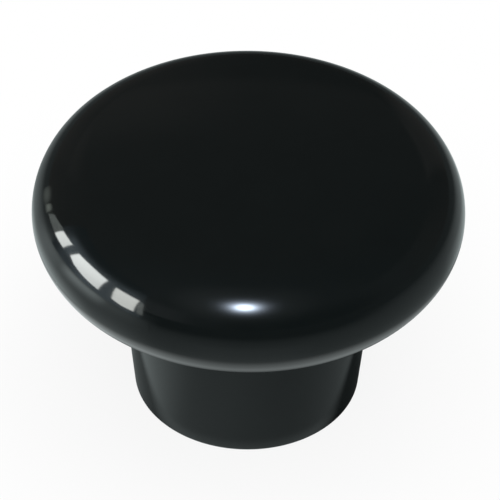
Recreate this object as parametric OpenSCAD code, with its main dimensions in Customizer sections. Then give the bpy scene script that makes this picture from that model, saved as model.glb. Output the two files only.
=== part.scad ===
// Cabinet knob: a round head on a tapered stem, moulded in one piece round a
// blind threaded brass insert. The stem is cored out from below, with ribs.
// The origin is the centre of the mounting face, and +Z points to the crown.

/* [Head] */
// Diameter of the head at its widest ring
head_d = 38; // [34:0.5:50]
// Height of the widest ring above the mounting face
ring_h = 20; // [16:0.5:26]
// Radius of the rim above the widest ring
rim_upper_r = 6; // [4:0.1:7.5]
// Radius of the rim below the widest ring
rim_lower_r = 5.1; // [3:0.1:6.5]
// Radius of the domed crown
crown_r = 90; // [60:5:200]

/* [Stem] */
// Diameter of the stem at the mounting face
base_d = 20.8; // [17:0.2:22]
// Draft of the stem, which widens towards the head, in degrees
stem_draft = 4.5; // [1:0.5:7]
// Radius of the hollow where the stem runs into the head
neck_r = 2.6; // [0.5:0.1:4]
// Radius of the edge round the mounting face
base_edge_r = 0.3; // [0.1:0.1:0.8]

/* [Core] */
// Thickness of the stem's wall at the mounting face
stem_wall = 2.4; // [1.6:0.1:3]
// Depth of the core from the mounting face
core_depth = 12; // [11:0.5:15]
// Draft of every moulded face inside the core, in degrees
core_draft = 1; // [0.5:0.25:1.5]
// Radius of the corners at the closed end of the core
core_corner_r = 0.8; // [0.3:0.1:1]
// Thickness of the plastic round the insert
boss_wall = 1.5; // [1.2:0.1:1.8]
// How far the boss and the insert stop short of the mounting face
boss_setback = 0.3; // [0.1:0.1:0.6]
// Number of ribs between the boss and the stem's wall
rib_count = 4; // [3:1:6]
// Thickness of a rib at its lower edge
rib_t = 1.2; // [0.8:0.1:1.6]
// How far the ribs stop short of the mounting face
rib_setback = 1.2; // [0.7:0.1:2]

/* [Insert] */
// Diameter over the knurls of the insert
insert_d = 6.4; // [6:0.1:7.8]
// Length of the insert
insert_len = 9.6; // [8.6:0.1:10.5]
// Diameter of the screw that the insert takes
screw_d = 4; // [3:0.5:5]
// Pitch of the screw's thread
thread_pitch = 0.7; // [0.5:0.1:0.8]
// Length of the insert's closed end, which the drill's point runs into
closed_end = 2.2; // [1.8:0.1:4]
// Clearance round the screw in the countersunk mouth of the hole
mouth_clearance = 0.1; // [0.05:0.05:0.2]
// Number of teeth round a knurled band
knurl_teeth = 24; // [16:1:30]
// Depth of the knurl
knurl_depth = 0.3; // [0.15:0.05:0.4]
// Width of the plain groove between the two knurled bands
groove_w = 1.6; // [1:0.1:2]
// Depth of that groove below the tops of the knurl
groove_depth = 0.65; // [0.5:0.05:0.7]
// Length of the plain collar at the open end of the insert
collar_len = 0.8; // [0.4:0.1:1.2]
// Depth of the collar and the closed end below the roots of the knurl
collar_step = 0.1; // [0.05:0.05:0.2]
// Size of the chamfer round the closed end of the insert
end_chamfer = 0.5; // [0.2:0.1:0.6]

/* [Hidden] */
$fn = 128;

// Full angle of a drill's point
drill_angle = 118;
// How far a cutting shape runs past the face that it opens
cut_over = 1;
// Touching arcs cross by this much, so that rounding leaves no sliver between them
touch = 0.0002;
// The most of the core's width that one corner at its closed end may take
corner_share = 0.45;

function unit(v) = v / norm(v);

head_r = head_d / 2;
base_r = base_d / 2;

// Centres of the two rim arcs, which meet at the widest ring
rim_upper_c = [head_r - rim_upper_r, ring_h];
rim_lower_c = [head_r - rim_lower_r, ring_h];

// The crown and the upper rim arc touch where the crown leans this far
crown_lean = asin(rim_upper_c.x / (crown_r - rim_upper_r));
crown_dir = [sin(crown_lean), cos(crown_lean)];
crown_c = [0, ring_h - (crown_r - rim_upper_r) * cos(crown_lean) - touch];
crown_top = crown_c.y + crown_r;

// Unit vectors up along the stem's wall and straight out of it
wall_dir = [sin(stem_draft), cos(stem_draft)];
wall_out = [cos(stem_draft), -sin(stem_draft)];

// Underside of the head, and the centre of a neck arc that touches it
under_h = ring_h - rim_lower_r;
flat_neck_c = [
    base_r + (neck_r + (under_h - neck_r) * sin(stem_draft)) / cos(stem_draft),
    under_h - neck_r
];

// Where the head has no room for a flat underside, the neck arc touches the
// lower rim arc instead. That arc's centre is measured along and off the stem's wall.
rim_from_base = rim_lower_c - [base_r, 0];
rim_along = rim_from_base * wall_dir;
rim_off = rim_from_base * wall_out;
neck_drop = sqrt(pow(neck_r + rim_lower_r, 2) - pow(neck_r - rim_off, 2));
round_neck_c = [base_r, 0] + (rim_along - neck_drop) * wall_dir + neck_r * wall_out;

has_flat = flat_neck_c.x < rim_lower_c.x;
neck_c = has_flat ? flat_neck_c : round_neck_c;
neck_start = neck_c - neck_r * wall_out;
neck_end = has_flat
    ? [neck_c.x, under_h]
    : rim_lower_c + rim_lower_r * unit(neck_c - rim_lower_c);

// The small arc round the mounting face starts this far from the sharp corner
edge_run = base_edge_r * (1 - sin(stem_draft)) / cos(stem_draft);
edge_c = [base_r - edge_run + touch, base_edge_r];
edge_end = [base_r, 0] + edge_run * wall_dir;

// Radii of the core and of the boss in its middle, where each opens
core_r = base_r - stem_wall;
boss_r = insert_d / 2 + boss_wall;

// Corners at the closed end of the core, where two of them share its width
core_slope = tan(core_draft);
core_end_w = core_r - boss_r - (2 * core_depth - boss_setback) * core_slope;
corner_r = min(core_corner_r, corner_share * core_end_w);
corner_h = core_depth - corner_r;
corner_in = corner_r / cos(core_draft);
outer_corner_c = [core_r - corner_h * core_slope - corner_in, corner_h];
inner_corner_c = [boss_r + (corner_h - boss_setback) * core_slope + corner_in, corner_h];

// The insert's radii and the length of each of its knurled bands
crest_r = insert_d / 2;
root_r = crest_r - knurl_depth;
collar_r = root_r - collar_step;
groove_r = crest_r - groove_depth;
band_len = (insert_len - collar_len - groove_w - end_chamfer) / 2;

// The hole is drilled one pitch smaller than the screw, before its thread is cut
tap_r = (screw_d - thread_pitch) / 2;
tap_depth = insert_len - closed_end;
mouth_r = screw_d / 2 + mouth_clearance;

module disc_at(centre, r) {
    translate(centre) circle(r = r);
}

// Half section of the crown, out to the line where the rim arc takes over
module crown_section() {
    intersection() {
        disc_at(crown_c, crown_r);
        polygon([
            [0, ring_h],
            rim_upper_c,
            rim_upper_c + (rim_upper_r + cut_over) * crown_dir,
            [0, crown_top + cut_over]
        ]);
    }
}

// The part of a rim disc above the widest ring (side 1) or below it (side -1)
module rim_section(centre, r, side) {
    intersection() {
        disc_at(centre, r);
        polygon([
            centre - [r, 0],
            centre + [r, 0],
            centre + [r, side * r],
            centre + [-r, side * r]
        ]);
    }
}

// Half section of the stem up to the widest ring, with straight sides
module stem_section() {
    polygon(concat(
        [[0, 0], [edge_c.x, 0], edge_end, neck_start, neck_c, neck_end],
        has_flat ? [[rim_lower_c.x, under_h]] : [],
        [rim_lower_c, [0, ring_h]]
    ));
    disc_at(edge_c, base_edge_r);
}

// The outside of the knob, before it is cored
module outer_form() {
    rotate_extrude() {
        crown_section();
        rim_section(rim_upper_c, rim_upper_r, 1);
        difference() {
            union() {
                rim_section(rim_lower_c, rim_lower_r, -1);
                stem_section();
            }
            disc_at(neck_c, neck_r + touch);
        }
    }
}

// Half section of the core: a ring round the boss, open at the mounting face
module core_section() {
    polygon([
        [0, -cut_over],
        [core_r + cut_over * core_slope, -cut_over],
        outer_corner_c + corner_r * [cos(core_draft), sin(core_draft)],
        [outer_corner_c.x, core_depth],
        [inner_corner_c.x, core_depth],
        inner_corner_c + corner_r * [-cos(core_draft), sin(core_draft)],
        [boss_r, boss_setback],
        [0, boss_setback]
    ]);
    disc_at(outer_corner_c, corner_r + touch);
    disc_at(inner_corner_c, corner_r + touch);
}

// One rib, thicker towards the closed end of the core
module rib() {
    end_h = core_depth + cut_over;
    low = rib_t / 2;
    high = low + (end_h - rib_setback) * core_slope;
    rotate([90, 0, 90])
        linear_extrude(base_r)
            polygon([[-low, rib_setback], [low, rib_setback], [high, end_h], [-high, end_h]]);
}

// Everything that the mould's core leaves open under the knob
module core_form() {
    difference() {
        rotate_extrude() core_section();
        for (i = [0 : rib_count - 1])
            rotate(i * 360 / rib_count) rib();
    }
}

// Outline of a straight knurl, whose teeth rise from the root to the crest
function knurl_outline() = [
    for (i = [0 : 2 * knurl_teeth - 1])
        let (r = i % 2 == 0 ? crest_r : root_r, turn = i * 180 / knurl_teeth)
            [r * cos(turn), r * sin(turn)]
];

// A knurled band that starts at height z on the insert
module knurled_band(z) {
    translate([0, 0, z])
        linear_extrude(band_len)
            polygon(knurl_outline());
}

// The insert's outside, which the plastic fills exactly
module insert_blank() {
    translate([0, 0, boss_setback]) {
        cylinder(r = collar_r, h = collar_len);
        knurled_band(collar_len);
        translate([0, 0, collar_len + band_len]) cylinder(r = groove_r, h = groove_w);
        knurled_band(collar_len + band_len + groove_w);
        translate([0, 0, insert_len - end_chamfer])
            cylinder(r1 = collar_r, r2 = collar_r - end_chamfer, h = end_chamfer);
    }
}

// Tapped hole with a countersunk mouth and the cone that a drill leaves
module tapped_hole() {
    translate([0, 0, boss_setback]) {
        translate([0, 0, -cut_over]) cylinder(r = tap_r, h = cut_over + tap_depth);
        cylinder(r1 = mouth_r, r2 = tap_r, h = mouth_r - tap_r);
        translate([0, 0, tap_depth])
            cylinder(r1 = tap_r, r2 = 0, h = tap_r / tan(drill_angle / 2));
    }
}

module knob_body() {
    color("#15191a")
        difference() {
            outer_form();
            core_form();
            insert_blank();
        }
}

module threaded_insert() {
    color("#c8a253")
        difference() {
            insert_blank();
            tapped_hole();
        }
}

knob_body();
threaded_insert();
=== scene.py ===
import math

import bmesh
import bpy
from mathutils import Matrix, Vector


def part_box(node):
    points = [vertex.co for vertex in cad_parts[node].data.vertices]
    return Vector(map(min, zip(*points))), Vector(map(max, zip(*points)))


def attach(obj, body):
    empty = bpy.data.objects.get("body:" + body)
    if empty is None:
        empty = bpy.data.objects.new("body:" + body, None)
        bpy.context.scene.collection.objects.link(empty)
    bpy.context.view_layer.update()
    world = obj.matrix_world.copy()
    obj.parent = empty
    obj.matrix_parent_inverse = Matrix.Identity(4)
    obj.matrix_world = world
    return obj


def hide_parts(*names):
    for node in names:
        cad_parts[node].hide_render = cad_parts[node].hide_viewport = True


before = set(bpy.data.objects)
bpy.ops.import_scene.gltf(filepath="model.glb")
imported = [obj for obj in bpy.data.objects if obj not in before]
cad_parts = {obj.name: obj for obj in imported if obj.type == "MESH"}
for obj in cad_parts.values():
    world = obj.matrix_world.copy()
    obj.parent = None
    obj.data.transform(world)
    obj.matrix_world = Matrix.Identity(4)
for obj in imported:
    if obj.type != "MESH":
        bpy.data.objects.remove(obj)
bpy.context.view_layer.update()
mm = 0.001

# ---- Moulded knob ----
# The head, the rim, the tapered stem and the flat foot are one moulding in glossy black
# plastic. The mould's core opens it from below and leaves a ring-shaped wall, four ribs
# and a boss, which is moulded round the brass insert.
knob_low, knob_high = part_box("knob_body")
insert_low, insert_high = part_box("threaded_insert")
head_r = min(knob_high.x, knob_high.y, -knob_low.x, -knob_low.y)
crown_top = knob_high.z
ring_z = 20 * mm
crown_r = 90 * mm
rim_upper_r = 6 * mm
rim_lower_r = 5.1 * mm
neck_r = 2.6 * mm
foot_r = 10.4 * mm
foot_edge_r = 0.3 * mm
stem_draft = 4.5
core_r = 8 * mm
core_depth = 12 * mm
core_corner_r = 0.8 * mm
core_draft = 1
boss_r = 4.7 * mm
boss_face = insert_low.z
soft_edge = 0.12 * mm
collar_r = 2.8 * mm
collar_top = 1.1 * mm
knurl_r = 3.2 * mm
insert_shoulder = 9.4 * mm
insert_end_r = 2.3 * mm
insert_top = insert_high.z
held_end = 0.05 * mm


def straight(bm, last, r, z):
    """Draws a half section on to radius r and height z. Points held close to both ends keep
    the shading of a long stretch flat."""
    start = last.co.copy()
    run = Vector((r, 0, z)) - start
    hold = held_end / run.length
    for share in (hold, 1 - hold, 1) if run.length > 10 * held_end else (1,):
        last = bmesh.ops.extrude_vert_indiv(bm, verts=[last])["verts"][0]
        last.co = start + share * run
    return last


def rounded(bm, last, centre, degrees, step):
    """Carries a half section on round an arc, clockwise where degrees is above 0, with a
    point every few degrees."""
    made = bmesh.ops.spin(
        bm,
        geom=[last],
        cent=(centre[0], 0, centre[1]),
        axis=(0, 1, 0),
        angle=math.radians(degrees),
        steps=max(2, round(abs(degrees) / step)),
    )
    return [v for v in made["geom_last"] if isinstance(v, bmesh.types.BMVert)][0]


def turned(bm, steps):
    """Turns the half section round Z into a closed shape whose faces point outwards."""
    bmesh.ops.spin(
        bm,
        geom=bm.verts[:] + bm.edges[:],
        cent=(0, 0, 0),
        axis=(0, 0, 1),
        angle=math.tau,
        steps=steps,
        use_merge=True,
    )
    bmesh.ops.remove_doubles(bm, verts=bm.verts[:], dist=1e-7)
    bmesh.ops.recalc_face_normals(bm, faces=bm.faces[:])


def piece_from(bm, name):
    """Puts a finished bmesh into the scene as a piece."""
    mesh = bpy.data.meshes.new(name)
    bm.to_mesh(mesh)
    bm.free()
    piece = bpy.data.objects.new(name, mesh)
    bpy.context.scene.collection.objects.link(piece)
    return piece


def carve(piece, tool, operation):
    """Joins the tool to a piece, or cuts the piece with it, and then removes the tool."""
    step = piece.modifiers.new("carve", "BOOLEAN")
    step.operation = operation
    step.solver = "EXACT"
    step.object = tool
    made = bpy.data.meshes.new_from_object(
        piece.evaluated_get(bpy.context.evaluated_depsgraph_get())
    )
    piece.modifiers.clear()
    plain = piece.data
    piece.data = made
    bpy.data.meshes.remove(plain)
    bpy.data.objects.remove(tool)


def smooth_but(piece, degrees):
    """Shades a piece smooth, with sharp lines where its faces meet at more than this."""
    piece.data.shade_smooth()
    piece.data.set_sharp_from_angle(angle=math.radians(degrees))


# The rim arcs start from the widest ring, and the neck touches the rim and the stem
rim_upper_c = Vector((head_r - rim_upper_r, ring_z))
rim_lower_c = Vector((head_r - rim_lower_r, ring_z))
crown_lean = math.degrees(math.asin(rim_upper_c.x / (crown_r - rim_upper_r)))
stem_tilt = math.radians(stem_draft)
up_stem = Vector((math.sin(stem_tilt), math.cos(stem_tilt)))
off_stem = Vector((math.cos(stem_tilt), -math.sin(stem_tilt)))
foot_corner = Vector((foot_r, 0))
to_rim = rim_lower_c - foot_corner
neck_height = to_rim.dot(up_stem) - math.sqrt(
    (neck_r + rim_lower_r) ** 2 - (neck_r - to_rim.dot(off_stem)) ** 2
)
neck_c = foot_corner + neck_height * up_stem + neck_r * off_stem
rim_turn = math.degrees(math.atan2(ring_z - neck_c.y, neck_c.x - rim_lower_c.x))
edge_run = foot_edge_r * (1 - math.sin(stem_tilt)) / math.cos(stem_tilt)
foot_edge_top = foot_corner + edge_run * up_stem
lean = math.tan(math.radians(core_draft))

# The outside, from the crown's middle to the foot
bm = bmesh.new()
end = bm.verts.new((0, 0, crown_top))
end = rounded(bm, end, (0, crown_top - crown_r), crown_lean, step=0.5)
end = rounded(bm, end, rim_upper_c, 90 - crown_lean, step=1)
end = rounded(bm, end, rim_lower_c, rim_turn, step=1.2)
end = rounded(bm, end, neck_c, stem_draft - rim_turn, step=2)
end = straight(bm, end, *foot_edge_top)
end = rounded(bm, end, (foot_r - edge_run, foot_edge_r), 90 - stem_draft, step=12)

# The core, up its outer wall, across its closed end and down the boss
end = straight(bm, end, core_r + soft_edge, 0)
end = rounded(bm, end, (core_r + soft_edge, soft_edge), 90 - core_draft, step=15)
corner_z = core_depth - core_corner_r
end = straight(bm, end, core_r - corner_z * lean, corner_z)
corner_x = end.co.x - core_corner_r
end = rounded(bm, end, (corner_x, corner_z), core_draft - 90, step=9)
corner_x = boss_r + (corner_z - boss_face) * lean + core_corner_r
end = straight(bm, end, corner_x, core_depth)
end = rounded(bm, end, (corner_x, corner_z), core_draft - 90, step=9)
end = straight(bm, end, boss_r, boss_face + soft_edge)
end = rounded(bm, end, (boss_r - soft_edge, boss_face + soft_edge), 90, step=15)

# The pocket round the insert
end = straight(bm, end, collar_r, boss_face)
end = straight(bm, end, collar_r, collar_top)
end = straight(bm, end, knurl_r, collar_top)
end = straight(bm, end, knurl_r, insert_shoulder)
end = straight(bm, end, insert_end_r, insert_top)
end = straight(bm, end, 0, insert_top)
turned(bm, steps=192)
knob = piece_from(bm, "moulded_knob")

# A rib runs from the boss to the wall, with rounded lower edges and the core's draft
rib_count = 4
rib_t = 1.2 * mm
rib_foot = 1.2 * mm
rib_head = 12.6 * mm
rib_inner = 4 * mm
rib_outer = 9 * mm
rib_edge_r = 0.25 * mm
bm = bmesh.new()
bmesh.ops.create_cube(bm, size=1)
bmesh.ops.scale(bm, vec=(rib_outer - rib_inner, rib_t, rib_head - rib_foot), verts=bm.verts[:])
bmesh.ops.translate(
    bm, vec=((rib_inner + rib_outer) / 2, 0, (rib_foot + rib_head) / 2), verts=bm.verts[:]
)
wider = 1 + 2 * (rib_head - rib_foot) * lean / rib_t
bmesh.ops.scale(bm, vec=(1, wider, 1), verts=[v for v in bm.verts if v.co.z > rib_foot + mm])
bmesh.ops.bevel(
    bm,
    geom=[
        e
        for e in bm.edges
        if e.calc_length() > 2 * rib_t and all(v.co.z < rib_foot + mm for v in e.verts)
    ],
    affect="EDGES",
    offset=rib_edge_r,
    segments=4,
    profile=0.5,
    material=-1,
)
bmesh.ops.spin(
    bm,
    geom=bm.verts[:] + bm.edges[:] + bm.faces[:],
    cent=(0, 0, 0),
    axis=(0, 0, 1),
    angle=math.tau * (rib_count - 1) / rib_count,
    steps=rib_count - 1,
    use_duplicate=True,
)
carve(knob, piece_from(bm, "ribs"), "UNION")
smooth_but(knob, 35)


def add(tree, kind, inputs=(), **settings):
    """Adds a node. Each input is a value, or the output of another node to link to it."""
    made = tree.nodes.new(kind)
    for name, value in settings.items():
        setattr(made, name, value)
    for socket, value in dict(inputs).items():
        if isinstance(value, bpy.types.NodeSocket):
            tree.links.new(value, made.inputs[socket])
        else:
            made.inputs[socket].default_value = value
    return made


def maths(tree, operation, *values):
    """One step of arithmetic on numbers."""
    return add(tree, "ShaderNodeMath", enumerate(values), operation=operation).outputs[0]


def times(tree, first, *others):
    """Multiplies numbers by one another."""
    for other in others:
        first = maths(tree, "MULTIPLY", first, other)
    return first


def vectors(tree, operation, *values):
    """One step of arithmetic on vectors."""
    made = add(tree, "ShaderNodeVectorMath", enumerate(values), operation=operation)
    return made.outputs["Value" if operation in ("LENGTH", "DOT_PRODUCT") else "Vector"]


def from_axis(tree, place):
    """How far a place is from the knob's axis."""
    return vectors(tree, "LENGTH", vectors(tree, "MULTIPLY", place, (1, 1, 0)))


def between(tree, share, low, high):
    """Goes from one number to another as the share goes from 0 to 1."""
    return add(tree, "ShaderNodeMix", {0: share, 2: low, 3: high}).outputs[0]


def blended(tree, share, colour, other):
    """Goes from one colour to another as the share goes from 0 to 1."""
    mix = add(
        tree, "ShaderNodeMix", {0: share, 6: (*colour, 1), 7: (*other, 1)}, data_type="RGBA"
    )
    return mix.outputs[2]


# Polish is never quite even: soft clouds of gloss, and a slow ripple left by the mould or
# the lathe. Both finishes of the knob use this group, with their own sizes.
uneven = bpy.data.node_groups.new("uneven_polish", "ShaderNodeTree")
for socket in ("Cloud Scale", "Ripple Scale", "Low", "High"):
    uneven.interface.new_socket(socket, in_out="INPUT", socket_type="NodeSocketFloat")
uneven.interface.new_socket("Vector", in_out="INPUT", socket_type="NodeSocketVector")
for socket in ("Clouds", "Roughness", "Ripple"):
    uneven.interface.new_socket(socket, in_out="OUTPUT", socket_type="NodeSocketFloat")
given = uneven.nodes.new("NodeGroupInput").outputs
clouds = add(
    uneven,
    "ShaderNodeTexNoise",
    {"Vector": given["Vector"], "Scale": given["Cloud Scale"], "Detail": 4, "Roughness": 0.6},
).outputs["Fac"]
spread = add(
    uneven,
    "ShaderNodeMapRange",
    {
        "Value": clouds,
        "From Min": 0.3,
        "From Max": 0.7,
        "To Min": given["Low"],
        "To Max": given["High"],
    },
)
ripple = add(
    uneven,
    "ShaderNodeTexNoise",
    {"Vector": given["Vector"], "Scale": given["Ripple Scale"], "Detail": 1},
)
add(
    uneven,
    "NodeGroupOutput",
    {"Clouds": clouds, "Roughness": spread.outputs["Result"], "Ripple": ripple.outputs["Fac"]},
)

# Black plastic: polished outside, satin on the foot and in the core, where the mould was
# machined and left so
satin_r = 9 * mm
satin_top = 12.5 * mm
satin_foot = 0.02 * mm
satin_roughness = 0.42
ripple_depth = 0.0012 * mm
grain_depth = 0.004 * mm
plastic = bpy.data.materials.new("black_plastic")
plastic.use_nodes = True
tree = plastic.node_tree
gloss = tree.nodes["Principled BSDF"]
gloss.inputs["IOR"].default_value = 1.5
place = add(tree, "ShaderNodeTexCoord").outputs["Object"]
polish = add(
    tree,
    "ShaderNodeGroup",
    {"Vector": place, "Cloud Scale": 260, "Ripple Scale": 420, "Low": 0.075, "High": 0.095},
    node_tree=uneven,
).outputs
height = add(tree, "ShaderNodeSeparateXYZ", {0: place}).outputs["Z"]
cored = times(
    tree,
    maths(tree, "LESS_THAN", from_axis(tree, place), satin_r),
    maths(tree, "LESS_THAN", height, satin_top),
)
satin = maths(tree, "MAXIMUM", cored, maths(tree, "LESS_THAN", height, satin_foot))
tone = blended(tree, polish["Clouds"], (0.0040, 0.0058, 0.0060), (0.0052, 0.0074, 0.0076))
evenness = between(tree, satin, polish["Roughness"], satin_roughness)
grain = add(tree, "ShaderNodeTexNoise", {"Vector": place, "Scale": 9000, "Detail": 2})
rippled = add(
    tree,
    "ShaderNodeBump",
    {"Height": polish["Ripple"], "Strength": 1, "Distance": ripple_depth},
)
grained = add(
    tree,
    "ShaderNodeBump",
    {
        "Height": times(tree, grain.outputs["Fac"], satin),
        "Strength": 1,
        "Distance": grain_depth,
        "Normal": rippled.outputs[0],
    },
)
tree.links.new(tone, gloss.inputs["Base Color"])
tree.links.new(evenness, gloss.inputs["Roughness"])
tree.links.new(grained.outputs[0], gloss.inputs["Normal"])
knob.data.materials.clear()
knob.data.materials.append(plastic)
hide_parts("knob_body")
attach(knob, "root")

# ---- Threaded insert ----
# A turned brass bush with two knurled bands and a plain groove between them, which lock it
# in the plastic. Its blind hole is drilled, countersunk and tapped right-handed for an M4
# screw, and its lower face lies flush with the boss.
mouth_r = 2.1 * mm
drilled_r = 1.65 * mm
tap_depth = 7.4 * mm
drill_angle = 118
drill_point = drilled_r / math.tan(math.radians(drill_angle / 2))
face_edge = 0.08 * mm
groove_r = 2.55 * mm
groove_low = 4.45 * mm
groove_high = 6.05 * mm
teeth = 24
steps_a_tooth = 6
tooth_depth = 0.3 * mm

# From the drill's point down the hole, then round the face and up the outside
bm = bmesh.new()
end = bm.verts.new((0, 0, boss_face + tap_depth + drill_point))
end = straight(bm, end, drilled_r, boss_face + tap_depth)
end = straight(bm, end, drilled_r, boss_face + mouth_r - drilled_r)
end = straight(bm, end, mouth_r, boss_face)
end = straight(bm, end, collar_r - face_edge, boss_face)
end = straight(bm, end, collar_r, boss_face + face_edge)
end = straight(bm, end, collar_r, collar_top)
end = straight(bm, end, knurl_r, collar_top)
end = straight(bm, end, knurl_r, groove_low)
end = straight(bm, end, groove_r, groove_low)
end = straight(bm, end, groove_r, groove_high)
end = straight(bm, end, knurl_r, groove_high)
end = straight(bm, end, knurl_r, insert_shoulder)
end = straight(bm, end, collar_r, insert_shoulder)
end = straight(bm, end, insert_end_r, insert_top)
end = straight(bm, end, 0, insert_top)
turned(bm, steps=teeth * steps_a_tooth)

# The knurling tool presses flat valleys into the bands and leaves pointed crests
near_crest_r = knurl_r - 0.01 * mm
for v in bm.verts:
    if v.co.xy.length > near_crest_r:
        tooth = math.atan2(v.co.y, v.co.x) / math.tau * teeth
        off_crest = abs(tooth - round(tooth))
        v.co.xy *= 1 - min(1, 3 * off_crest) * tooth_depth / knurl_r
insert = piece_from(bm, "threaded_insert_brass")

# The tap's cut: a V groove that climbs one pitch a turn, with a flat at its root
pitch = 0.7 * mm
thread_turns = 10
steps_a_turn = 40
cut_start = boss_face - 0.4 * mm
cut_root_r = 2.0 * mm
cut_root_w = 0.09 * mm
cut_open_r = 1.5 * mm
cut_open_w = 0.67 * mm
bm = bmesh.new()
corners = [
    bm.verts.new((r, 0, cut_start + z))
    for r, z in (
        (cut_open_r, -cut_open_w / 2),
        (cut_root_r, -cut_root_w / 2),
        (cut_root_r, cut_root_w / 2),
        (cut_open_r, cut_open_w / 2),
    )
]
bm.faces.new(corners)
bmesh.ops.spin(
    bm,
    geom=bm.verts[:] + bm.edges[:] + bm.faces[:],
    cent=(0, 0, 0),
    axis=(0, 0, 1),
    dvec=(0, 0, pitch / steps_a_turn),
    angle=math.tau * thread_turns,
    steps=thread_turns * steps_a_turn,
)
bmesh.ops.recalc_face_normals(bm, faces=bm.faces[:])
carve(insert, piece_from(bm, "tap"), "DIFFERENCE")
smooth_but(insert, 25)

# Brass: bright where the lathe cut it last, in fine rings round the axis
lathe_depth = 0.003 * mm
brass = bpy.data.materials.new("insert_brass")
brass.use_nodes = True
tree = brass.node_tree
metal = tree.nodes["Principled BSDF"]
metal.inputs["Metallic"].default_value = 1
place = add(tree, "ShaderNodeTexCoord").outputs["Object"]
polish = add(
    tree,
    "ShaderNodeGroup",
    {"Vector": place, "Cloud Scale": 500, "Ripple Scale": 900, "Low": 0.22, "High": 0.34},
    node_tree=uneven,
).outputs
lathe = add(
    tree,
    "ShaderNodeTexWave",
    {"Vector": place, "Scale": 2400, "Distortion": 0.6, "Detail": 1},
    wave_type="RINGS",
    rings_direction="Z",
)
ringed = add(
    tree,
    "ShaderNodeBump",
    {"Height": lathe.outputs["Fac"], "Strength": 1, "Distance": lathe_depth},
)
tone = blended(tree, polish["Clouds"], (0.52, 0.34, 0.12), (0.70, 0.48, 0.20))
tree.links.new(tone, metal.inputs["Base Color"])
tree.links.new(polish["Roughness"], metal.inputs["Roughness"])
tree.links.new(ringed.outputs[0], metal.inputs["Normal"])
insert.data.materials.clear()
insert.data.materials.append(brass)
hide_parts("threaded_insert")
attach(insert, "root")

# ---- Floor ----
# A wide sheet of white paper, plain and matt, that the knob stands on. It keeps the soft
# shadow, and its own white is lifted for the camera and in gloss. From below it is clear.
floor_r = 1.6
floor_drop = 0.02 * mm


def looked_at(tree):
    """Is 1 for what the camera, gloss and glass see, and 0 where a surface only lights."""
    ray = add(tree, "ShaderNodeLightPath").outputs
    seen = maths(tree, "MAXIMUM", ray["Is Camera Ray"], ray["Is Glossy Ray"])
    return maths(tree, "MAXIMUM", seen, ray["Is Transmission Ray"])


def eased(tree, value, across, levels):
    """Goes smoothly from one level to another as the value goes from one end to the other."""
    return add(
        tree,
        "ShaderNodeMapRange",
        {
            "Value": value,
            "From Min": across[0],
            "From Max": across[1],
            "To Min": levels[0],
            "To Max": levels[1],
        },
        interpolation_type="SMOOTHSTEP",
    ).outputs["Result"]


def shader_between(tree, share, shader, other):
    """Goes from one shader to another as the share goes from 0 to 1."""
    return add(tree, "ShaderNodeMixShader", {0: share, 1: shader, 2: other}).outputs[0]


paper = bpy.data.materials.new("white_paper")
paper.use_nodes = True
tree = paper.node_tree
tree.nodes.remove(tree.nodes["Principled BSDF"])
place = add(tree, "ShaderNodeTexCoord").outputs["Object"]
fibres = add(tree, "ShaderNodeTexNoise", {"Vector": place, "Scale": 1500, "Detail": 3})
white = blended(tree, fibres.outputs["Fac"], (0.92, 0.92, 0.92), (0.95, 0.95, 0.95))
lit = add(tree, "ShaderNodeBsdfDiffuse", {"Color": white}).outputs[0]
lifted = add(tree, "ShaderNodeEmission", {"Color": (1, 1, 1, 1), "Strength": 1}).outputs[0]
own_white = eased(tree, from_axis(tree, place), (18 * mm, 50 * mm), (0.88, 1))
front = shader_between(tree, times(tree, looked_at(tree), own_white), lit, lifted)
from_below = add(tree, "ShaderNodeNewGeometry").outputs["Backfacing"]
clear = add(tree, "ShaderNodeBsdfTransparent").outputs[0]
tree.links.new(
    shader_between(tree, from_below, front, clear),
    tree.nodes["Material Output"].inputs["Surface"],
)
bm = bmesh.new()
bmesh.ops.create_circle(bm, cap_ends=True, segments=96, radius=floor_r)
bmesh.ops.translate(bm, vec=(0, 0, -floor_drop), verts=bm.verts[:])
floor = piece_from(bm, "floor")
floor.data.materials.append(paper)

# ---- Studio light ----
# A large soft box overhead and a softer one over the camera light the scene at a plain
# level, and the white room fills in. Neither box shows in the gloss.
world = bpy.data.worlds.new("white_room")
bpy.context.scene.world = world
world.use_nodes = True
tree = world.node_tree
tree.nodes.clear()
fill = add(tree, "ShaderNodeBackground", {"Color": (1, 1, 1, 1), "Strength": 0.45})
backdrop = add(tree, "ShaderNodeBackground", {"Color": (1, 1, 1, 1), "Strength": 1})
room = shader_between(tree, looked_at(tree), fill.outputs[0], backdrop.outputs[0])
add(tree, "ShaderNodeOutputWorld", {"Surface": room})


def towards(azimuth, elevation=0):
    """Direction from the knob: azimuth 0 is the camera's side and 90 is its right."""
    a, e = math.radians(azimuth), math.radians(elevation)
    return Vector((math.sin(a) * math.cos(e), -math.cos(a) * math.cos(e), math.sin(e)))


def soft_box(name, azimuth, elevation, size, level, distance=0.9):
    """Hangs a square soft box that faces the knob and lights it to that level."""
    light = bpy.data.lights.new(name, "AREA")
    light.size = size
    light.energy = level * math.pi**2 * distance**2
    box = bpy.data.objects.new(name, light)
    bpy.context.scene.collection.objects.link(box)
    back = towards(azimuth, elevation)
    box.location = back * distance
    box.rotation_mode = "QUATERNION"
    box.rotation_quaternion = back.to_track_quat("Z", "Y")
    box.visible_glossy = False
    box.visible_camera = False
    box.visible_transmission = False


soft_box("overhead_box", azimuth=20, elevation=80, size=0.7, level=0.42)
soft_box("front_box", azimuth=0, elevation=45, size=0.35, level=0.22)

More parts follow.
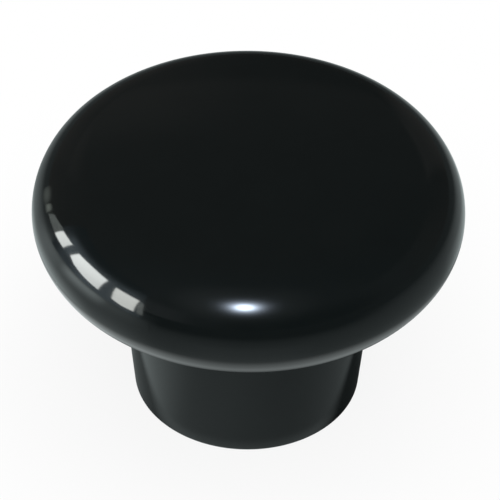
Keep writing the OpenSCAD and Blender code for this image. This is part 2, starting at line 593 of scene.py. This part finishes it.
# ---- Hood ----
# Black gloss shows only what stands round it. A dim hood over the whole set is seen in gloss
# alone, as are the cards and the glowing disc below. Its glow is a painted reflection of a room:
# lighter at the left, dark ahead and low down, warmer at the back, with pale strips far behind,
# and a painted glow about the highlight disc and the window.
hood_r = 1.3
highlight_way = towards(-1.4, 36.6)


def in_gloss_only(bm, name, paint):
    """Stands a finished bmesh in the set as a card that only gloss can see."""
    card = piece_from(bm, name)
    card.data.materials.append(paint)
    card.visible_camera = False
    card.visible_diffuse = False
    card.visible_transmission = False
    card.visible_volume_scatter = False
    card.visible_shadow = False
    return card


def glow_paint(name, colour=(1, 1, 1), strength=1):
    """A plain glow. Each card's pattern takes the place of its strength or its colour."""
    made = bpy.data.materials.new(name)
    made.use_nodes = True
    made.cycles.emission_sampling = "NONE"
    tree = made.node_tree
    tree.nodes.remove(tree.nodes["Principled BSDF"])
    glow = add(tree, "ShaderNodeEmission", {"Color": (*colour, 1), "Strength": strength})
    tree.links.new(glow.outputs[0], tree.nodes["Material Output"].inputs["Surface"])
    return made, tree, glow


def plus(tree, first, *others):
    """Adds numbers to one another."""
    for other in others:
        first = maths(tree, "ADD", first, other)
    return first


def place_in_mm(tree):
    """The place on a card, in millimetres."""
    place = add(tree, "ShaderNodeTexCoord").outputs["Object"]
    return vectors(tree, "MULTIPLY", place, (1 / mm, 1 / mm, 1 / mm))


def facing(tree, place, azimuth):
    """Cosine between an azimuth and the way from the axis to a place."""
    flat = vectors(tree, "MULTIPLY", place, (1, 1, 0))
    return vectors(tree, "DOT_PRODUCT", vectors(tree, "NORMALIZE", flat), towards(azimuth))


hood_painted_reflection, tree, glow = glow_paint("hood_painted_reflection")
place = place_in_mm(tree)
way = vectors(tree, "NORMALIZE", place)
side = add(tree, "ShaderNodeSeparateXYZ", {0: way}).outputs
by_side = eased(tree, side["X"], (-0.9, 0.5), (0.085, 0.041))
dark_ahead = between(
    tree,
    eased(tree, side["Z"], (0.2, 0.55), (1, 0)),
    1,
    eased(tree, facing(tree, place, 25), (0.72, 0.95), (1, 0.4)),
)
low_behind = times(
    tree,
    eased(tree, side["Y"], (0.6, 0.9), (0, 1)),
    eased(tree, side["Z"], (0.40, 0.43), (1, 0)),
)
plain = times(tree, by_side, dark_ahead, maths(tree, "MULTIPLY_ADD", low_behind, -0.4, 1))
over_front = times(
    tree,
    eased(tree, side["Y"], (-0.75, -0.1), (0.03, 0)),
    eased(tree, side["Z"], (0.1, 0.5), (0, 1)),
)
about_highlight = times(
    tree,
    eased(tree, vectors(tree, "DOT_PRODUCT", way, highlight_way), (0.8, 1), (0, 0.13)),
    eased(tree, side["X"], (-0.5, 0.5), (1.25, 0.75)),
    eased(tree, side["Z"], (0.1, 0.5), (0.25, 1)),
)

# Upright patches of painted light: two strips behind, a glow at the right and one above the window
patches = [
    times(
        tree,
        eased(tree, facing(tree, place, azimuth), spread, (0, strength)),
        eased(tree, side["Z"], top, (1, 0)),
    )
    for azimuth, spread, strength, top in (
        (-158, (0.92, 0.99), 0.03, (0.5, 0.62)),
        (152, (0.965, 0.995), 0.05, (0.42, 0.52)),
        (88, (0.75, 1), 0.03, (0.4, 0.5)),
        (-50, (0.88, 1), 0.12, (0.2, 0.4)),
    )
]
tint = blended(tree, eased(tree, side["Y"], (-0.3, 0.3), (0, 1)), (0.93, 1, 1.02), (1, 0.93, 0.87))
tree.links.new(tint, glow.inputs["Color"])
tree.links.new(plus(tree, plain, over_front, about_highlight, *patches), glow.inputs["Strength"])
bm = bmesh.new()
bmesh.ops.create_uvsphere(bm, u_segments=48, v_segments=24, radius=hood_r)
in_gloss_only(bm, "hood", hood_painted_reflection)

# ---- Card underfoot ----
# A glowing card on the floor, seen in gloss alone, which the rim's underside and the stem
# show. Its glow is painted light and shade on the floor: lighter at the left and at the back
# right, with a bright band under the window, fading out from the knob, and a painted shadow
# behind it.
underfoot_r = 1.29
underfoot_drop = 0.01 * mm
shade_centre = (0, 8.2, 0)
underfoot_paint, tree, glow = glow_paint("underfoot_paint", (0.88, 1, 1))
place = place_in_mm(tree)
spot = add(tree, "ShaderNodeSeparateXYZ", {0: place}).outputs
out = from_axis(tree, place)
to_front = facing(tree, place, 0)
to_left = facing(tree, place, -90)
to_window = facing(tree, place, -78)

# The painted level of light on the floor itself, from the foot out
by_foot = plus(
    tree,
    eased(tree, to_left, (-0.6, 0.3), (0.235, 0.355)),
    eased(tree, to_left, (0.55, 1), (0, 0.24)),
    eased(tree, out, (10.4, 11.8), (0.25, 0)),
)
farther = plus(
    tree,
    eased(tree, spot["X"], (-30, 10), (0.30, 0.265)),
    times(
        tree,
        eased(tree, to_front, (0.85, 1), (0, 0.07)),
        eased(tree, out, (42, 56), (1, 0)),
    ),
    eased(tree, facing(tree, place, -112), (0.9, 1), (0, 0.1)),
)
away = eased(tree, out, (18, 25), (0, 1))
fade = between(
    tree,
    eased(tree, to_front, (0.3, 0.8), (0, 1)),
    eased(tree, out, (42, 165), (1, 0.3)),
    eased(tree, out, (42, 107), (1, 0.15)),
)
painted_floor_light = times(tree, between(tree, away, by_foot, farther), fade)

# Painted light added to it: the back right, the left close by, and the band under the window
back_right = times(
    tree,
    eased(tree, facing(tree, place, 140), (0.7, 1), (0, 0.38)),
    plus(
        tree,
        eased(tree, out, (45, 62), (0.65, 0)),
        eased(tree, out, (60, 150), (0.35, 0)),
    ),
)
near_left = times(
    tree,
    eased(tree, facing(tree, place, -106), (0.8, 0.97), (0, 0.32)),
    eased(tree, out, (33, 52), (1, 0)),
    away,
)
band = times(
    tree,
    eased(tree, out, (44, 82), (0, 1)),
    eased(tree, out, (87, 119), (1, 0.15)),
)
far_fade = eased(tree, out, (130, 400), (1, 0))
wide_band = times(
    tree,
    eased(tree, to_window, (0.75, 0.95), (0, 1)),
    maths(tree, "MULTIPLY_ADD", band, 0.33, 0.17),
    away,
    far_fade,
)
narrow_band = times(tree, eased(tree, to_window, (0.962, 0.9995), (0, 1.2)), band, far_fade)
light = plus(tree, painted_floor_light, back_right, near_left, wide_band, narrow_band)

# The knob's painted shadow, crisp in front and soft at the back
from_shade = vectors(tree, "LENGTH", vectors(tree, "SUBTRACT", place, shade_centre))
shaded = between(
    tree,
    eased(tree, spot["Y"], (0, 9), (0, 1)),
    eased(tree, from_shade, (16.7, 18.3), (1, 0)),
    eased(tree, from_shade, (4, 26), (1, 0)),
)
shade = eased(tree, spot["X"], (-8, 8), (0.155, 0.026))
tree.links.new(between(tree, shaded, light, shade), glow.inputs["Strength"])
bm = bmesh.new()
bmesh.ops.create_circle(bm, cap_ends=True, segments=96, radius=underfoot_r)
bmesh.ops.translate(bm, vec=(0, 0, -underfoot_drop), verts=bm.verts[:])
in_gloss_only(bm, "underfoot_card", underfoot_paint)

# ---- Ring under the head ----
# A glowing ring of card held round the stem close under the head, which only the rim's lower
# edge shows, as a painted reflection. It is brightest at the left and in front, and soft at both
# of its edges.
ring_card_inner_r = 15.8 * mm
ring_card_outer_r = 21.2 * mm
ring_card_z = 13 * mm
ring_paint, tree, glow = glow_paint("ring_paint", (0.91, 1, 1))
place = place_in_mm(tree)
spot = add(tree, "ShaderNodeSeparateXYZ", {0: place}).outputs
out = from_axis(tree, place)
to_left = facing(tree, place, -85)
ring_light = times(
    tree,
    plus(
        tree,
        eased(tree, to_left, (-1, -0.4), (0.42, 0.68)),
        eased(tree, to_left, (0.1, 1), (0, 0.27)),
    ),
    eased(tree, spot["Y"], (-8, 4), (1, 0.7)),
    eased(tree, out, (19.3, 21.4), (1, 0.5)),
    eased(tree, out, (15.9, 17.9), (0.3, 1)),
)
tree.links.new(ring_light, glow.inputs["Strength"])
bm = bmesh.new()
for radius in (ring_card_inner_r, ring_card_outer_r):
    bmesh.ops.create_circle(bm, segments=96, radius=radius)
bmesh.ops.bridge_loops(bm, edges=bm.edges[:])
bmesh.ops.translate(bm, vec=(0, 0, ring_card_z), verts=bm.verts[:])
in_gloss_only(bm, "ring_card", ring_paint)

# ---- Window ----
# Three panes and their frame stand close to the rim at the left, with a curtain, a latch and
# two faint spots beside them: glowing cards seen in gloss alone, which paint the window's
# reflection. Each is a card on an upright round wall, and its corners are an azimuth on that
# wall and a height in millimetres.
wall_x, wall_y, wall_r = -13, -12, 20
pane_forward = 0.3
glow_low, glow_high = 20, 27


def on_wall(azimuth, height, forward=0):
    """The place of a corner, which may stand forward of the wall."""
    spot = (wall_r - forward) * towards(azimuth)
    return Vector((wall_x + spot.x, wall_y + spot.y, height)) * mm


def cleared(tree, glow, solid):
    """Lets a card clear where its solid share goes to 0."""
    clear = add(tree, "ShaderNodeBsdfTransparent").outputs[0]
    tree.links.new(
        shader_between(tree, solid, clear, glow.outputs[0]),
        tree.nodes["Material Output"].inputs["Surface"],
    )


def window_card(name, strength, colour, corners, fade=None):
    """Stands a card on the wall, a little brighter at its top. With a fade it clears from its
    middle outwards."""
    paint, tree, glow = glow_paint(name + "_paint", colour)
    place = place_in_mm(tree)
    height = add(tree, "ShaderNodeSeparateXYZ", {0: place}).outputs["Z"]
    tree.links.new(
        eased(tree, height, (glow_low, glow_high), strength), glow.inputs["Strength"]
    )
    spots = [on_wall(azimuth, z, pane_forward) for azimuth, z in corners]
    if fade:
        middle = sum(spots, Vector()) / len(spots) / mm
        from_middle = vectors(tree, "LENGTH", vectors(tree, "SUBTRACT", place, middle))
        cleared(tree, glow, eased(tree, from_middle, fade, (1, 0)))
    bm = bmesh.new()
    bm.faces.new([bm.verts.new(spot) for spot in spots])
    in_gloss_only(bm, name, paint)


window_card(
    "pane_back",
    (8.4, 11.6),
    (0.96, 1, 0.97),
    ((-118.9, 22.3), (-116.0, 26.5), (-110.3, 27.0), (-104.3, 27.4), (-107.6, 22.3)),
)
window_card(
    "pane_middle",
    (11.5, 15.5),
    (0.96, 1, 0.98),
    (
        (-99.9, 23.0),
        (-95.9, 27.5),
        (-80.9, 28.2),
        (-65.5, 27.9),
        (-69.5, 19.6),
        (-83.3, 20.3),
        (-94.5, 21.5),
    ),
)
window_card(
    "pane_front",
    (11.3, 13.2),
    (0.97, 1, 0.96),
    (
        (-57.2, 27.1),
        (-45.8, 26.9),
        (-36.2, 26.6),
        (-38.6, 18.8),
        (-48.1, 18.7),
        (-57.3, 19.6),
    ),
)
window_card(
    "curtain",
    (0.75, 1.25),
    (0.91, 1, 0.95),
    ((-130.9, 22.6), (-128.2, 25.0), (-116.9, 27.0), (-118.9, 22.4)),
)
window_card(
    "faint_glint_spot",
    (0.9, 1.25),
    (0.9, 1, 0.9),
    ((-137.4, 21.3), (-134.4, 25.2), (-130.9, 25.2), (-132.6, 21.3)),
    fade=(0.3, 2.0),
)
window_card(
    "faint_glow_spot",
    (0.45, 0.6),
    (0.9, 1, 0.92),
    ((-137.0, 19.4), (-145.0, 21.0), (-143.6, 27.4), (-136.4, 25.0)),
    fade=(0.2, 2.4),
)
window_card(
    "latch",
    (1.9, 2.3),
    (0.92, 1, 0.97),
    ((-36.1, 18.4), (-35.4, 26.5), (-31.9, 25.8), (-31.0, 18.4)),
    fade=(2.0, 5.5),
)


def raised(bm, height):
    """Draws a line of edges up into an upright sheet."""
    made = bmesh.ops.extrude_edge_only(bm, edges=bm.edges[:])["geom"]
    bmesh.ops.translate(
        bm, vec=(0, 0, height), verts=[v for v in made if isinstance(v, bmesh.types.BMVert)]
    )


# The frame round the panes is bluish, darker low down at the back, and its glow dies away
# above the panes and at both ends
frame_end = -118
frame_arc = 85
frame_steps = 24
frame_foot = 18.7
frame_step_down = 0.11
frame_h = 19.5
frame_paint, tree, glow = glow_paint("frame_paint", (0.74, 0.9, 1))
spot = add(tree, "ShaderNodeSeparateXYZ", {0: place_in_mm(tree)}).outputs
back_low = times(
    tree,
    eased(tree, spot["Y"], (-15, -8), (0, 0.7)),
    eased(tree, spot["Z"], (20.5, 25), (1, 0)),
)
frame_light = times(
    tree,
    eased(tree, spot["Z"], (27.5, 33), (0.95, 0)),
    eased(tree, spot["Y"], (-30, -26), (0.2, 1)),
    eased(tree, spot["Y"], (-7, -3.5), (1, 0.1)),
    eased(tree, spot["Y"], (-20, -12), (0.78, 1)),
    maths(tree, "SUBTRACT", 1, back_low),
)
over_frame = eased(tree, spot["Z"], (29, 37), (0.15, 0.085))
tree.links.new(plus(tree, frame_light, over_frame), glow.inputs["Strength"])
bm = bmesh.new()
bm.verts.new(on_wall(frame_end, frame_foot))
bmesh.ops.spin(
    bm,
    geom=bm.verts[:],
    cent=(wall_x * mm, wall_y * mm, 0),
    axis=(0, 0, 1),
    dvec=(0, 0, -frame_step_down * mm),
    angle=math.radians(frame_arc),
    steps=frame_steps,
)
raised(bm, frame_h * mm)
in_gloss_only(bm, "window_frame", frame_paint)

# A dim glowing upright card beside the front pane, seen in gloss alone, keeps the pane's
# light off the rim's front when that is seen from the right, and paints a dim reflection there
# instead. It clears towards both of its ends and its lower edge.
side_near = (-10.1, -18.9)
side_far = (-21.2, -29.6)
side_foot, side_top = 17, 30
side_paint, tree, glow = glow_paint("side_paint", (0.9, 1, 1), strength=0.1)
spot = add(tree, "ShaderNodeSeparateXYZ", {0: place_in_mm(tree)}).outputs
solid = times(
    tree,
    eased(tree, spot["X"], (-21, -16.5), (0, 1)),
    eased(tree, spot["X"], (-12, -10.1), (1, 0)),
    eased(tree, spot["Z"], (side_foot, 18.5), (0, 1)),
)
cleared(tree, glow, solid)
bm = bmesh.new()
bm.verts.new(Vector((*side_near, side_foot)) * mm)
bm.verts.new(Vector((*side_far, side_foot)) * mm)
bm.edges.new(bm.verts[:])
raised(bm, (side_top - side_foot) * mm)
in_gloss_only(bm, "side_card", side_paint)

# ---- Highlight disc by the camera ----
# A round glowing disc just above the camera, aimed at the front of the crown, seen in gloss
# alone: it lights nothing and paints the highlight. Its small bright middle and soft glow are
# added to what the hood shows behind it.
highlight_disc_r = 0.42
highlight_disc_distance = 1.1
highlight_middle = 40
highlight_peak = 185
highlight_falloff = 0.0455
highlight_aim = Vector((0, -17.5, 23.9)) * mm
highlight_disc_paint, tree, glow = glow_paint("highlight_disc_paint", (0.70, 0.82, 1))
place = add(tree, "ShaderNodeTexCoord").outputs["Object"]
oval = vectors(tree, "LENGTH", vectors(tree, "MULTIPLY", place, (1.05, 0.95, 1)))
falling = maths(tree, "EXPONENT", times(tree, oval, -1 / highlight_falloff))
tree.links.new(
    maths(tree, "MINIMUM", times(tree, falling, highlight_peak), highlight_middle),
    glow.inputs["Strength"],
)
clear = add(tree, "ShaderNodeBsdfTransparent").outputs[0]
added = add(tree, "ShaderNodeAddShader", {0: glow.outputs[0], 1: clear}).outputs[0]
tree.links.new(added, tree.nodes["Material Output"].inputs["Surface"])
bm = bmesh.new()
bmesh.ops.create_circle(bm, cap_ends=True, segments=64, radius=highlight_disc_r)
highlight_disc = in_gloss_only(bm, "camera_highlight_disc", highlight_disc_paint)
highlight_disc.location = highlight_aim + highlight_disc_distance * highlight_way
highlight_disc.rotation_mode = "QUATERNION"
highlight_disc.rotation_quaternion = highlight_way.to_track_quat("Z", "Y")

# ---- Camera ----
# Above the front of the knob and close, with a long lens, and turned a little about its own
# line of sight
aim = Vector((0.171, 0, 14.889)) * mm
camera_distance = 209 * mm
camera_roll = 0.0123
to_camera = towards(0, 40.517)
lens = bpy.data.cameras.new("camera")
lens.lens = 168.55
lens.sensor_width = 36
lens.clip_start = 0.01
lens.clip_end = 10
camera = bpy.data.objects.new("camera", lens)
bpy.context.scene.collection.objects.link(camera)
camera.location = aim + camera_distance * to_camera
camera.rotation_mode = "QUATERNION"
roll = Matrix.Rotation(camera_roll, 3, "Z").to_quaternion()
camera.rotation_quaternion = to_camera.to_track_quat("Z", "Y") @ roll
bpy.context.scene.camera = camera
bpy.context.scene.view_settings.view_transform = "Standard"
